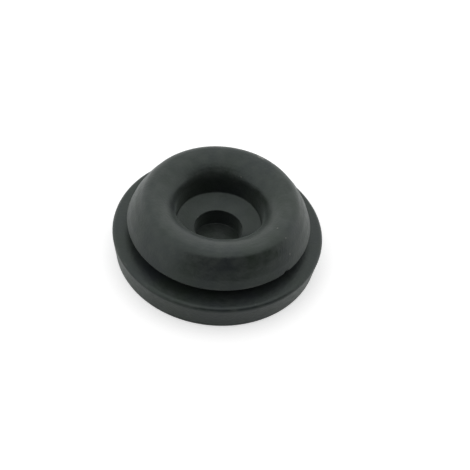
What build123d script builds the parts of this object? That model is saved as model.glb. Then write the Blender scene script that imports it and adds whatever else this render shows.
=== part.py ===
# Rubber gasket: one moulded body of revolution, resting on the flat underside of its flange.
# Millimetres, +Z up, the axis is Z and the underside is at z = 0.
import os
from math import cos, hypot, radians, sin, tan

from build123d import *

# widths, from the hole outwards
HOLE_R = 2.8
FLOOR_W = 2.3
NECK_WALL = 4.15
HEAD_OVERHANG = 1.6
FLANGE_W = 3.25

# heights, from the underside upwards, and depths from the lip downwards
WEB_T = 1.2
FLANGE_T = 3.5
GROOVE_W = 1.3
HEAD_H = 3.75
RECESS_DEPTH = 4.27
DISH_DROP = 0.83

# the lip: a tight arc from the bell up to the crest, a wide one inwards, and the throat down to the recess wall
LIP_OUT_R = 1.1
LIP_IN_R = 3.45
THROAT_R = 1.8
THROAT_TILT_DEG = 50
SHOULDER_DEG = 38
RECESS_LEAN_DEG = 3

# the flange's side leans in towards the underside
FLANGE_DRAFT_DEG = 8

# rounds
FLANGE_TOP_ROUND = 0.45
FLANGE_FOOT_ROUND = 0.3
ROUND_SHARE_MAX = 0.3
ROOT_ROUND = 0.2
HEAD_EDGE_ROUND = 0.1
RECESS_CORNER_ROUND = 0.25
HOLE_ROUND = 0.15

FLOOR_R = HOLE_R + FLOOR_W
NECK_R = FLOOR_R + NECK_WALL
HEAD_R = NECK_R + HEAD_OVERHANG
FLANGE_R = NECK_R + FLANGE_W

HEAD_Z = FLANGE_T + GROOVE_W
TOTAL_H = HEAD_Z + HEAD_H
FLOOR_Z = TOTAL_H - RECESS_DEPTH
HOLE_RIM_Z = FLOOR_Z - DISH_DROP

# each arc of the lip runs tangentially into the next, so the wall's top gives the throat and the crest
TILT = radians(THROAT_TILT_DEG)
LEAN = radians(RECESS_LEAN_DEG)
THROAT_TOP_Z = TOTAL_H - LIP_IN_R * (1 - cos(TILT))
WALL_TOP_Z = THROAT_TOP_Z - THROAT_R * (cos(TILT) - sin(LEAN))
WALL_TOP_R = FLOOR_R + (WALL_TOP_Z - FLOOR_Z) * tan(LEAN)
THROAT_TOP_R = WALL_TOP_R + THROAT_R * (cos(LEAN) - sin(TILT))
CREST_R = THROAT_TOP_R + LIP_IN_R * sin(TILT)


def flange_outline():
    """Underside, foot round, leaning side, top round and top of the flange."""
    draft = radians(FLANGE_DRAFT_DEG)
    top = min(FLANGE_TOP_ROUND, ROUND_SHARE_MAX * FLANGE_T)
    foot = min(FLANGE_FOOT_ROUND, ROUND_SHARE_MAX * FLANGE_T)
    side_top = (FLANGE_R - top * (1 - cos(draft)), FLANGE_T - top * (1 + sin(draft)))
    foot_r = side_top[0] - (side_top[1] - foot) * tan(draft) - foot / cos(draft)
    side_foot = (foot_r + foot * cos(draft), foot * (1 - sin(draft)))
    return [
        Line((0, 0), (foot_r, 0)),
        TangentArc((foot_r, 0), side_foot, tangent=(1, 0)),
        Line(side_foot, side_top),
        TangentArc(side_top, (FLANGE_R - top, FLANGE_T), tangent=(sin(draft), cos(draft))),
        Line((FLANGE_R - top, FLANGE_T), (NECK_R, FLANGE_T)),
    ]


def head_outline():
    """Neck, underside of the head, bell, lip and throat, bottom to top and over into the recess."""
    out = cos(radians(SHOULDER_DEG))
    up = sin(radians(SHOULDER_DEG))
    shoulder = (CREST_R + LIP_OUT_R * out, TOTAL_H - LIP_OUT_R * (1 - up))
    crest = (CREST_R, TOTAL_H)
    throat_top = (THROAT_TOP_R, THROAT_TOP_Z)
    return [
        Line((NECK_R, FLANGE_T), (NECK_R, HEAD_Z)),
        Line((NECK_R, HEAD_Z), (HEAD_R, HEAD_Z)),
        TangentArc(shoulder, (HEAD_R, HEAD_Z), tangent=(up, -out)),
        TangentArc(shoulder, crest, tangent=(-up, out)),
        TangentArc(crest, throat_top, tangent=(-1, 0)),
        TangentArc(throat_top, (WALL_TOP_R, WALL_TOP_Z), tangent=(-cos(TILT), -sin(TILT))),
    ]


def recess_outline():
    """Leaning wall, dished floor, and wall and floor of the blind hole, top to bottom."""
    return [
        Line((WALL_TOP_R, WALL_TOP_Z), (FLOOR_R, FLOOR_Z)),
        Line((FLOOR_R, FLOOR_Z), (HOLE_R, HOLE_RIM_Z)),
        Line((HOLE_R, HOLE_RIM_Z), (HOLE_R, WEB_T)),
        Line((HOLE_R, WEB_T), (0, WEB_T)),
        Line((0, WEB_T), (0, 0)),
    ]


def rounded(face, radius, r, z):
    """Round the outline's corner at radius r and height z."""
    corner = min(face.vertices(), key=lambda v: hypot(v.X - r, v.Y - z))
    return fillet(corner, radius)


def section():
    """Half section of the gasket, radius to the right and height up."""
    face = make_face(flange_outline() + head_outline() + recess_outline())
    for radius, r, z in (
        (ROOT_ROUND, NECK_R, FLANGE_T),
        (ROOT_ROUND, NECK_R, HEAD_Z),
        (HEAD_EDGE_ROUND, HEAD_R, HEAD_Z),
        (RECESS_CORNER_ROUND, FLOOR_R, FLOOR_Z),
        (HOLE_ROUND, HOLE_R, HOLE_RIM_Z),
        (HOLE_ROUND, HOLE_R, WEB_T),
    ):
        face = rounded(face, radius, r, z)
    return face


def gasket():
    """The section turned once round the axis."""
    return revolve(Plane.XZ * section(), Axis.Z, 360)


os.makedirs("parts", exist_ok=True)
export_step(gasket(), "parts/gasket.step")
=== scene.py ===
from math import atan2, ceil, cos, dist, hypot, pi, radians, remainder, sin, tan

import bmesh
import bpy
from mathutils import Matrix, Vector, noise


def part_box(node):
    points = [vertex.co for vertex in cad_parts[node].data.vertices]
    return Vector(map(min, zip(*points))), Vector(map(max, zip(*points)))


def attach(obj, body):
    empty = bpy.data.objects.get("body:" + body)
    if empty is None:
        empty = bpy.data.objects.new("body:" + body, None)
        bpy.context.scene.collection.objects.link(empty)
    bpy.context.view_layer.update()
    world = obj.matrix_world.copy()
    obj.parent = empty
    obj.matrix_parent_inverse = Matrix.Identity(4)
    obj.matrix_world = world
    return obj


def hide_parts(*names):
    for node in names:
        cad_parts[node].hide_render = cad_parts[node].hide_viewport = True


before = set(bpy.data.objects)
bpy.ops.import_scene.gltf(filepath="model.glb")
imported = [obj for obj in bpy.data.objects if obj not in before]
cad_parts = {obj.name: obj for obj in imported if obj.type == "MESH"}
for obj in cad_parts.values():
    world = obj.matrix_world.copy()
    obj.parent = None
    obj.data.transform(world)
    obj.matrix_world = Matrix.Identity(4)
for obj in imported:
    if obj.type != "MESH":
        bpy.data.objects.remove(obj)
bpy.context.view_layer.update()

MM = 0.001
WHITE = (1, 1, 1, 1)
cad_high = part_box("gasket")[1]

# section of the gasket, as in the CAD model but for a sharper corner at the hole's floor
FLANGE_R = cad_high.x
TOTAL_H = cad_high.z
HOLE_R = 2.8 * MM
FLOOR_R = 5.1 * MM
NECK_R = 9.25 * MM
HEAD_R = 10.85 * MM
FLANGE_T = 3.5 * MM
HEAD_Z = 4.8 * MM
FLOOR_Z = 4.28 * MM
HOLE_RIM_Z = 3.45 * MM
HOLE_FLOOR_Z = 1.2 * MM
LIP_OUT_R = 1.1 * MM
LIP_IN_R = 3.45 * MM
THROAT_R = 1.8 * MM
THROAT_TILT = radians(50)
SHOULDER = radians(38)
RECESS_LEAN = radians(3)
FLANGE_DRAFT = radians(8)
FLANGE_TOP_ROUND = 0.45 * MM
FLANGE_FOOT_ROUND = 0.3 * MM
ROOT_ROUND = 0.2 * MM
HEAD_EDGE_ROUND = 0.1 * MM
RECESS_CORNER_ROUND = 0.25 * MM
HOLE_ROUND = 0.15 * MM
HOLE_FLOOR_ROUND = 0.05 * MM

# mesh
STEPS_ROUND = 288
STEP_ALONG = 0.2 * MM
ARC_STEP = radians(9)

# unevenness of the moulding, all of it inside the CAD model's box
WAVE_LENGTH = 5 * MM
WAVE_DEPTH = 0.03 * MM
LIP_MID_R = 8 * MM
MOUTH_SHIFT = 0.25 * MM
MOUTH_AZIMUTH = radians(-90)
MOUTH_HALF_ANGLE = radians(75)
MOUTH_FADE_SHARE = 0.5
NICK_AZIMUTH = radians(-39)
NICK_SIZE = 0.45 * MM
NICK_DEPTH = 0.18 * MM

# rubber: colours and shine
RUBBER_GREEN = (0.0122, 0.0172, 0.0126, 1)
RUBBER_BLUE = (0.0124, 0.0148, 0.0170, 1)
RUBBER_GREY = (0.0172, 0.0207, 0.0192, 1)
RUBBER_SHINE = (0.88, 1.0, 0.94, 1)
RUBBER_ROUGHNESS = (0.31, 0.41)
SHEEN_WEIGHT = 0.16
SHEEN_ROUGHNESS = 0.44

# clouds in the rubber: size and detail of each, and the part of the noise's range that counts
TINT_CLOUD = (5 * MM, 3)
TINT_RANGE = (0.35, 0.65)
MOTTLE_CLOUD = (1.4 * MM, 5)
MOTTLE_RANGE = (0.4, 0.75)
ROUGHNESS_CLOUD = (0.7 * MM, 4)
ROUGHNESS_RANGE = (0.3, 0.7)
GRAIN_CLOUD = (0.3 * MM, 6)
GRAIN_DEPTH = 0.035 * MM
GRAIN_STRENGTH = 0.8

# dust and rubbed edges, and painted shade: the dust haze is left off the flange top under the head
HAZE_COLOUR = (0.0415, 0.0465, 0.0430, 1)
HAZE_FACING = (-0.3, 1.0)
HAZE_MOTTLE = (0.3, 0.8)
HAZE_SHARE = (0.05, 0.6)
DUST_COLOUR = (0.14, 0.14, 0.13, 1)
DUST_SPACING = 1.1 * MM
DUST_SIZE = 0.045 * MM
DUST_CHOSEN = (0.7, 0.9)
SPECK_CORE_SHARE = 1 / 3
SCUFF_WIDTH = 0.4 * MM
SCUFF_SHARE = 0.25
SCUFF_CLOUD = (1.4 * MM, 6)
SCUFF_RANGE = (0.5, 0.7)

# the specks that the photo shows: direction from the axis, radius, height and size
SPECKS = (
    (radians(60.5), 8.62 * MM, 8.49 * MM, 0.30 * MM),
    (radians(63.5), 8.60 * MM, 8.50 * MM, 0.34 * MM),
    (radians(69.8), 5.52 * MM, 7.18 * MM, 0.10 * MM),
    (radians(-28.1), 7.63 * MM, 8.48 * MM, 0.12 * MM),
    (radians(-30.9), 9.08 * MM, 8.18 * MM, 0.11 * MM),
    (radians(-32.9), 10.13 * MM, 6.53 * MM, 0.12 * MM),
    (radians(153.9), 2.88 * MM, 3.47 * MM, 0.10 * MM),
)

# table and light: a white dome with one dark side, low in front and a little to the right
TABLE_SIZE = 1.2
TABLE_GREY = (0.78, 0.78, 0.78, 1)
TABLE_ROUGHNESS = 0.9
TABLE_LIFT = 0.49
DOME_BRIGHT = 1.04
DOME_DIM = 0.07
DARK_AZIMUTH = radians(-66)
DARK_ELEVATION = radians(-8)
DARK_CORE = radians(52)
DARK_EDGE = radians(77)

# camera: a long lens in front and above, tilted a little, its numbers found from the photo's edges
PHOTO_PX = 470
FOCAL_PX = 1000
SENSOR_WIDTH_MM = 36
CAMERA_ELEVATION = radians(47.4)
CAMERA_ROLL = radians(7.3)
CAMERA_DISTANCE = 121.3 * MM
CAMERA_RIGHT = 2.28 * MM
CAMERA_UP = 1.43 * MM
NEAREST_SEEN = 0.01
FARTHEST_SEEN = 5

# a Mix node's sockets for colours, by number, because its sockets for numbers have the same names
MIX_SHARE = 0
MIX_A = 6
MIX_B = 7
MIX_OUT = 2


def arc(centre, radius, start, end):
    """Points of an arc in the section plane, both ends included."""
    steps = max(2, ceil(abs(end - start) / ARC_STEP))
    angles = [start + (end - start) * i / steps for i in range(steps + 1)]
    return [(centre[0] + radius * cos(a), centre[1] + radius * sin(a)) for a in angles]


def rounded(before, corner, after, radius):
    """Arc that rounds a corner between two straight runs."""
    corner = Vector(corner)
    to_before = Vector(before) - corner
    to_after = Vector(after) - corner
    half = to_before.angle(to_after) / 2
    reach = radius / tan(half)
    start = corner + to_before.normalized() * reach
    end = corner + to_after.normalized() * reach
    bisector = (to_before.normalized() + to_after.normalized()).normalized()
    centre = corner + bisector * (radius / sin(half))
    a = atan2(start.y - centre.y, start.x - centre.x)
    b = atan2(end.y - centre.y, end.x - centre.x)
    sweep = (b - a + pi) % (2 * pi) - pi
    return arc(centre, radius, a, a + sweep)


def lip_arc():
    """The lip from the shoulder up over the crest, then down the throat to the top of the recess wall."""
    turn_z = TOTAL_H - LIP_IN_R * (1 - cos(THROAT_TILT))
    wall_top_z = turn_z - THROAT_R * (cos(THROAT_TILT) - sin(RECESS_LEAN))
    wall_top_r = FLOOR_R + (wall_top_z - FLOOR_Z) * tan(RECESS_LEAN)
    throat_r = wall_top_r + THROAT_R * cos(RECESS_LEAN)
    throat_z = wall_top_z - THROAT_R * sin(RECESS_LEAN)
    crest_r = throat_r + (LIP_IN_R - THROAT_R) * sin(THROAT_TILT)
    outer = arc((crest_r, TOTAL_H - LIP_OUT_R), LIP_OUT_R, SHOULDER, pi / 2)
    top = arc((crest_r, TOTAL_H - LIP_IN_R), LIP_IN_R, pi / 2, pi / 2 + THROAT_TILT)
    throat = arc((throat_r, throat_z), THROAT_R, pi / 2 + THROAT_TILT, pi - RECESS_LEAN)
    return outer + top[1:] + throat[1:]


def bell_arc(shoulder):
    """The bell from the head's lower edge up to the shoulder, where it runs on into the lip."""
    normal = Vector((cos(SHOULDER), sin(SHOULDER)))
    chord = Vector((HEAD_R, HEAD_Z)) - Vector(shoulder)
    radius = -chord.length_squared / (2 * chord.dot(normal))
    centre = Vector(shoulder) - normal * radius
    foot = atan2(HEAD_Z - centre.y, HEAD_R - centre.x)
    return arc(centre, radius, foot, SHOULDER)


def section():
    """Half section as radius and height, from the middle of the underside to that of the hole's floor."""
    lip = lip_arc()
    bell = bell_arc(lip[0])
    side_r = FLANGE_R - FLANGE_TOP_ROUND * (1 - cos(FLANGE_DRAFT))
    side_z = FLANGE_T - FLANGE_TOP_ROUND * (1 + sin(FLANGE_DRAFT))
    foot = (side_r - side_z * tan(FLANGE_DRAFT), 0)
    flange_top = (side_r + (FLANGE_T - side_z) * tan(FLANGE_DRAFT), FLANGE_T)
    root = (NECK_R, FLANGE_T)
    head_root = (NECK_R, HEAD_Z)
    head_edge = (HEAD_R, HEAD_Z)
    floor_edge = (FLOOR_R, FLOOR_Z)
    hole_rim = (HOLE_R, HOLE_RIM_Z)
    hole_low = (HOLE_R, HOLE_FLOOR_Z)
    return [
        (0, 0),
        *rounded((0, 0), foot, flange_top, FLANGE_FOOT_ROUND),
        *rounded(foot, flange_top, root, FLANGE_TOP_ROUND),
        *rounded(flange_top, root, head_root, ROOT_ROUND),
        *rounded(root, head_root, head_edge, ROOT_ROUND),
        *rounded(head_root, head_edge, bell[1], HEAD_EDGE_ROUND),
        *bell[1:],
        *lip[1:],
        *rounded(lip[-1], floor_edge, hole_rim, RECESS_CORNER_ROUND),
        *rounded(floor_edge, hole_rim, hole_low, HOLE_ROUND),
        *rounded(hole_rim, hole_low, (0, HOLE_FLOOR_Z), HOLE_FLOOR_ROUND),
        (0, HOLE_FLOOR_Z),
    ]


def divided(points):
    """The section with its long runs divided into short steps."""
    out = []
    for start, end in zip(points, points[1:]):
        steps = max(1, round(dist(start, end) / STEP_ALONG))
        for i in range(steps):
            t = i / steps
            out.append((start[0] + (end[0] - start[0]) * t, start[1] + (end[1] - start[1]) * t))
    return out + [points[-1]]


def turned(outline):
    """Closed smooth mesh: the section, whose two ends lie on Z, turned once round Z."""
    bm = bmesh.new()
    low = bm.verts.new((0, 0, outline[0][1]))
    high = bm.verts.new((0, 0, outline[-1][1]))
    runs = []
    for k in range(STEPS_ROUND):
        a = 2 * pi * k / STEPS_ROUND
        runs.append([bm.verts.new((r * cos(a), r * sin(a), z)) for r, z in outline[1:-1]])
    for run, after in zip(runs, runs[1:] + runs[:1]):
        bm.faces.new((low, after[0], run[0]))
        bm.faces.new((high, run[-1], after[-1]))
        for i in range(len(run) - 1):
            bm.faces.new((run[i], after[i], after[i + 1], run[i + 1]))
    for face in bm.faces:
        face.smooth = True
    bmesh.ops.recalc_face_normals(bm, faces=bm.faces)
    bm.normal_update()
    return bm


def smooth(t):
    """Soft step from 0 to 1."""
    t = min(1, max(0, t))
    return t * t * (3 - 2 * t)


def mouth_share(place):
    """How far a point goes with the near side of the mouth, which leans in over the recess."""
    off = abs(remainder(atan2(place.y, place.x) - MOUTH_AZIMUTH, 2 * pi)) / MOUTH_HALF_ANGLE
    up = (place.z - FLOOR_Z) / (TOTAL_H - FLOOR_Z)
    across = (LIP_MID_R - hypot(place.x, place.y)) / (LIP_MID_R - FLOOR_R)
    return smooth(1 - off) * smooth(up / MOUTH_FADE_SHARE) * smooth(across / MOUTH_FADE_SHARE)


def nick_share(place):
    """How far a point goes with the nick in the bell's lower edge."""
    nick = Vector((HEAD_R * cos(NICK_AZIMUTH), HEAD_R * sin(NICK_AZIMUTH), HEAD_Z))
    return smooth(1 - (place - nick).length / NICK_SIZE)


def uneven(place, normal):
    """A point sunk a little by soft waves, and moved towards Z by the leaning mouth and the nick."""
    wave = (noise.noise(place / WAVE_LENGTH) + 1) / 2
    outwards = Vector((place.x, place.y, 0)).normalized()
    inwards = MOUTH_SHIFT * mouth_share(place) + NICK_DEPTH * nick_share(place)
    return place - normal * (WAVE_DEPTH * wave) - outwards * inwards


def gasket_piece():
    """The whole gasket as one smooth mesh, a little uneven, its underside flat."""
    bm = turned(divided(section()))
    places = {v: uneven(v.co, v.normal) for v in bm.verts if v.co.z > FLANGE_FOOT_ROUND}
    for vertex, place in places.items():
        vertex.co = place
    mesh = bpy.data.meshes.new("gasket_body")
    bm.to_mesh(mesh)
    bm.free()
    piece = bpy.data.objects.new("gasket_body", mesh)
    bpy.context.scene.collection.objects.link(piece)
    return piece


def new_material(name):
    """Material with its node tree, and the tree's shader."""
    material = bpy.data.materials.new(name)
    material.use_nodes = True
    return material, material.node_tree, material.node_tree.nodes["Principled BSDF"]


def feed(tree, node, inputs):
    """Give a node its inputs; each is a socket to link or a value to set."""
    for name, value in inputs.items():
        if isinstance(value, bpy.types.NodeSocket):
            tree.links.new(value, node.inputs[name])
        else:
            node.inputs[name].default_value = value


def add(tree, kind, inputs, **settings):
    """New node of a tree, with its settings and inputs."""
    new = tree.nodes.new("ShaderNode" + kind)
    for name, value in settings.items():
        setattr(new, name, value)
    feed(tree, new, inputs)
    return new


def ramp(tree, value, low, high, to_low=0.0, to_high=1.0):
    """A value taken from one range to another, softly and kept inside it."""
    inputs = {"Value": value, "From Min": low, "From Max": high, "To Min": to_low, "To Max": to_high}
    return add(tree, "MapRange", inputs, interpolation_type="SMOOTHSTEP").outputs["Result"]


def times(tree, a, b):
    """Product of two values."""
    return add(tree, "Math", {0: a, 1: b}, operation="MULTIPLY").outputs[0]


def larger(tree, a, b):
    """The larger of two values."""
    return add(tree, "Math", {0: a, 1: b}, operation="MAXIMUM").outputs[0]


def apart(tree, a, b):
    """Distance between two places."""
    return add(tree, "VectorMath", {0: a, 1: b}, operation="DISTANCE").outputs["Value"]


def blend(tree, share, a, b):
    """Colour between a and b."""
    return add(tree, "Mix", {MIX_SHARE: share, MIX_A: a, MIX_B: b}, data_type="RGBA").outputs[MIX_OUT]


def cloud(tree, place, size, detail):
    """Noise with clouds of about the given size."""
    return add(tree, "TexNoise", {"Vector": place, "Scale": 1 / size, "Detail": detail}).outputs["Fac"]


def camera_rays(tree):
    """1 for what the camera sees directly, and 0 for all other light."""
    return add(tree, "LightPath", {}).outputs["Is Camera Ray"]


def dust_specks(tree, place):
    """Share of pale colour: fine dust specks scattered everywhere, and pale specks at the places listed
    in SPECKS.
    """
    cells = add(tree, "TexVoronoi", {"Vector": place, "Scale": 1 / DUST_SPACING})
    near = ramp(tree, cells.outputs["Distance"], DUST_SIZE / DUST_SPACING, 0)
    chosen = add(tree, "SeparateColor", {"Color": cells.outputs["Color"]}).outputs["Red"]
    share = times(tree, near, ramp(tree, chosen, *DUST_CHOSEN))
    for azimuth, radius, height, size in SPECKS:
        away = apart(tree, place, (radius * cos(azimuth), radius * sin(azimuth), height))
        share = larger(tree, share, ramp(tree, away, size, size * SPECK_CORE_SHARE))
    return share


def from_axis(tree, place):
    """Radius and height of a place on the gasket."""
    flat = add(tree, "VectorMath", {0: place, 1: (1, 1, 0)}, operation="MULTIPLY").outputs["Vector"]
    radius = add(tree, "VectorMath", {0: flat}, operation="LENGTH").outputs["Value"]
    return radius, add(tree, "SeparateXYZ", {"Vector": place}).outputs["Z"]


def dust_haze_and_painted_shade(tree, place, mottle):
    """Share of the thin dust haze that lies on what faces up, on the head and in its recess and hole; it
    is left off the flange top, which stays darker there as painted shade under the head's overhang.
    """
    facing = add(tree, "NewGeometry", {}).outputs["Normal"]
    upwards = ramp(tree, add(tree, "SeparateXYZ", {"Vector": facing}).outputs["Z"], *HAZE_FACING)
    radius, height = from_axis(tree, place)
    # the haze fades out towards the flange top: painted shade under the head's overhang
    head = ramp(tree, height, FLANGE_T, HEAD_Z)
    hole = ramp(tree, radius, FLOOR_R, HOLE_R)
    lying = times(tree, upwards, larger(tree, head, hole))
    return times(tree, lying, ramp(tree, mottle, *HAZE_MOTTLE, *HAZE_SHARE))


def edge_scuffs(tree, place):
    """Share of pale rubbing along the flange's top edge and the bell's lower edge, in patches."""
    radius, height = from_axis(tree, place)
    in_section = add(tree, "CombineXYZ", {"X": radius, "Y": height}).outputs["Vector"]
    flange_edge = ramp(tree, apart(tree, in_section, (FLANGE_R, FLANGE_T, 0)), SCUFF_WIDTH, 0)
    bell_edge = ramp(tree, apart(tree, in_section, (HEAD_R, HEAD_Z, 0)), SCUFF_WIDTH, 0)
    patches = ramp(tree, cloud(tree, place, *SCUFF_CLOUD), *SCUFF_RANGE)
    return times(tree, larger(tree, flange_edge, bell_edge), patches)


def rubber_material():
    """Matt black moulded rubber with a faint cool tint, fine grain, a haze of dust and rubbed edges;
    leaving the haze off the flange top paints shade under the head.
    """
    material, tree, shader = new_material("rubber")
    place = add(tree, "TexCoord", {}).outputs["Object"]
    tint = ramp(tree, cloud(tree, place, *TINT_CLOUD), *TINT_RANGE)
    mottle = cloud(tree, place, *MOTTLE_CLOUD)
    colour = blend(tree, tint, RUBBER_GREEN, RUBBER_BLUE)
    colour = blend(tree, ramp(tree, mottle, *MOTTLE_RANGE), colour, RUBBER_GREY)
    # dust haze, with painted shade where it is left off the flange top
    colour = blend(tree, dust_haze_and_painted_shade(tree, place, mottle), colour, HAZE_COLOUR)
    colour = blend(tree, times(tree, edge_scuffs(tree, place), SCUFF_SHARE), colour, DUST_COLOUR)
    colour = blend(tree, dust_specks(tree, place), colour, DUST_COLOUR)
    roughness = ramp(tree, cloud(tree, place, *ROUGHNESS_CLOUD), *ROUGHNESS_RANGE, *RUBBER_ROUGHNESS)
    grain = cloud(tree, place, *GRAIN_CLOUD)
    bump = add(tree, "Bump", {"Strength": GRAIN_STRENGTH, "Distance": GRAIN_DEPTH, "Height": grain})
    feed(tree, shader, {
        "Base Color": colour,
        "Roughness": roughness,
        "Normal": bump.outputs["Normal"],
        "Specular Tint": RUBBER_SHINE,
        "Sheen Tint": RUBBER_SHINE,
        "Sheen Weight": SHEEN_WEIGHT,
        "Sheen Roughness": SHEEN_ROUGHNESS,
    })
    return material


def table_material():
    """White table that stays white to the camera and keeps the gasket's shadow."""
    material, tree, shader = new_material("table")
    feed(tree, shader, {
        "Base Color": TABLE_GREY,
        "Roughness": TABLE_ROUGHNESS,
        "Specular IOR Level": 0.0,
        "Emission Color": WHITE,
        "Emission Strength": times(tree, camera_rays(tree), TABLE_LIFT),
    })
    return material


def table():
    """Large table top, under the gasket."""
    bpy.ops.mesh.primitive_plane_add(size=TABLE_SIZE, location=(0, 0, 0))
    top = bpy.context.object
    top.name = "table_top"
    top.data.materials.append(table_material())


def lighting():
    """Soft white dome with one dark side, plain white to the camera."""
    world = bpy.data.worlds.new("studio")
    bpy.context.scene.world = world
    world.use_nodes = True
    tree = world.node_tree
    level = cos(DARK_ELEVATION)
    dark = (level * cos(DARK_AZIMUTH), level * sin(DARK_AZIMUTH), sin(DARK_ELEVATION))
    direction = add(tree, "TexCoord", {}).outputs["Generated"]
    towards = add(tree, "VectorMath", {0: direction, 1: dark}, operation="DOT_PRODUCT").outputs["Value"]
    dome = ramp(tree, towards, cos(DARK_EDGE), cos(DARK_CORE), DOME_BRIGHT, DOME_DIM)
    strength = add(tree, "Mix", {"Factor": camera_rays(tree), "A": dome, "B": 1.0}, data_type="FLOAT")
    feed(tree, tree.nodes["Background"], {"Color": WHITE, "Strength": strength.outputs["Result"]})


def camera():
    """Camera at the photo's place: in front and above, looking along +Y and down."""
    level = Vector((1, 0, 0))
    rise = Vector((0, sin(CAMERA_ELEVATION), cos(CAMERA_ELEVATION)))
    ahead = Vector((0, cos(CAMERA_ELEVATION), -sin(CAMERA_ELEVATION)))
    right = level * cos(CAMERA_ROLL) + rise * sin(CAMERA_ROLL)
    up = rise * cos(CAMERA_ROLL) - level * sin(CAMERA_ROLL)
    data = bpy.data.cameras.new("camera")
    data.sensor_width = SENSOR_WIDTH_MM
    data.lens = SENSOR_WIDTH_MM * FOCAL_PX / PHOTO_PX
    data.clip_start = NEAREST_SEEN
    data.clip_end = FARTHEST_SEEN
    eye = bpy.data.objects.new("camera", data)
    axes = Matrix((right, up, -ahead)).transposed()
    place = right * CAMERA_RIGHT + up * CAMERA_UP - ahead * CAMERA_DISTANCE
    eye.matrix_world = Matrix.Translation(place) @ axes.to_4x4()
    bpy.context.scene.collection.objects.link(eye)
    bpy.context.scene.camera = eye


body = gasket_piece()
body.data.materials.append(rubber_material())
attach(body, "root")
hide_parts("gasket")

camera()
table()
lighting()
bpy.context.scene.view_settings.view_transform = "Standard"
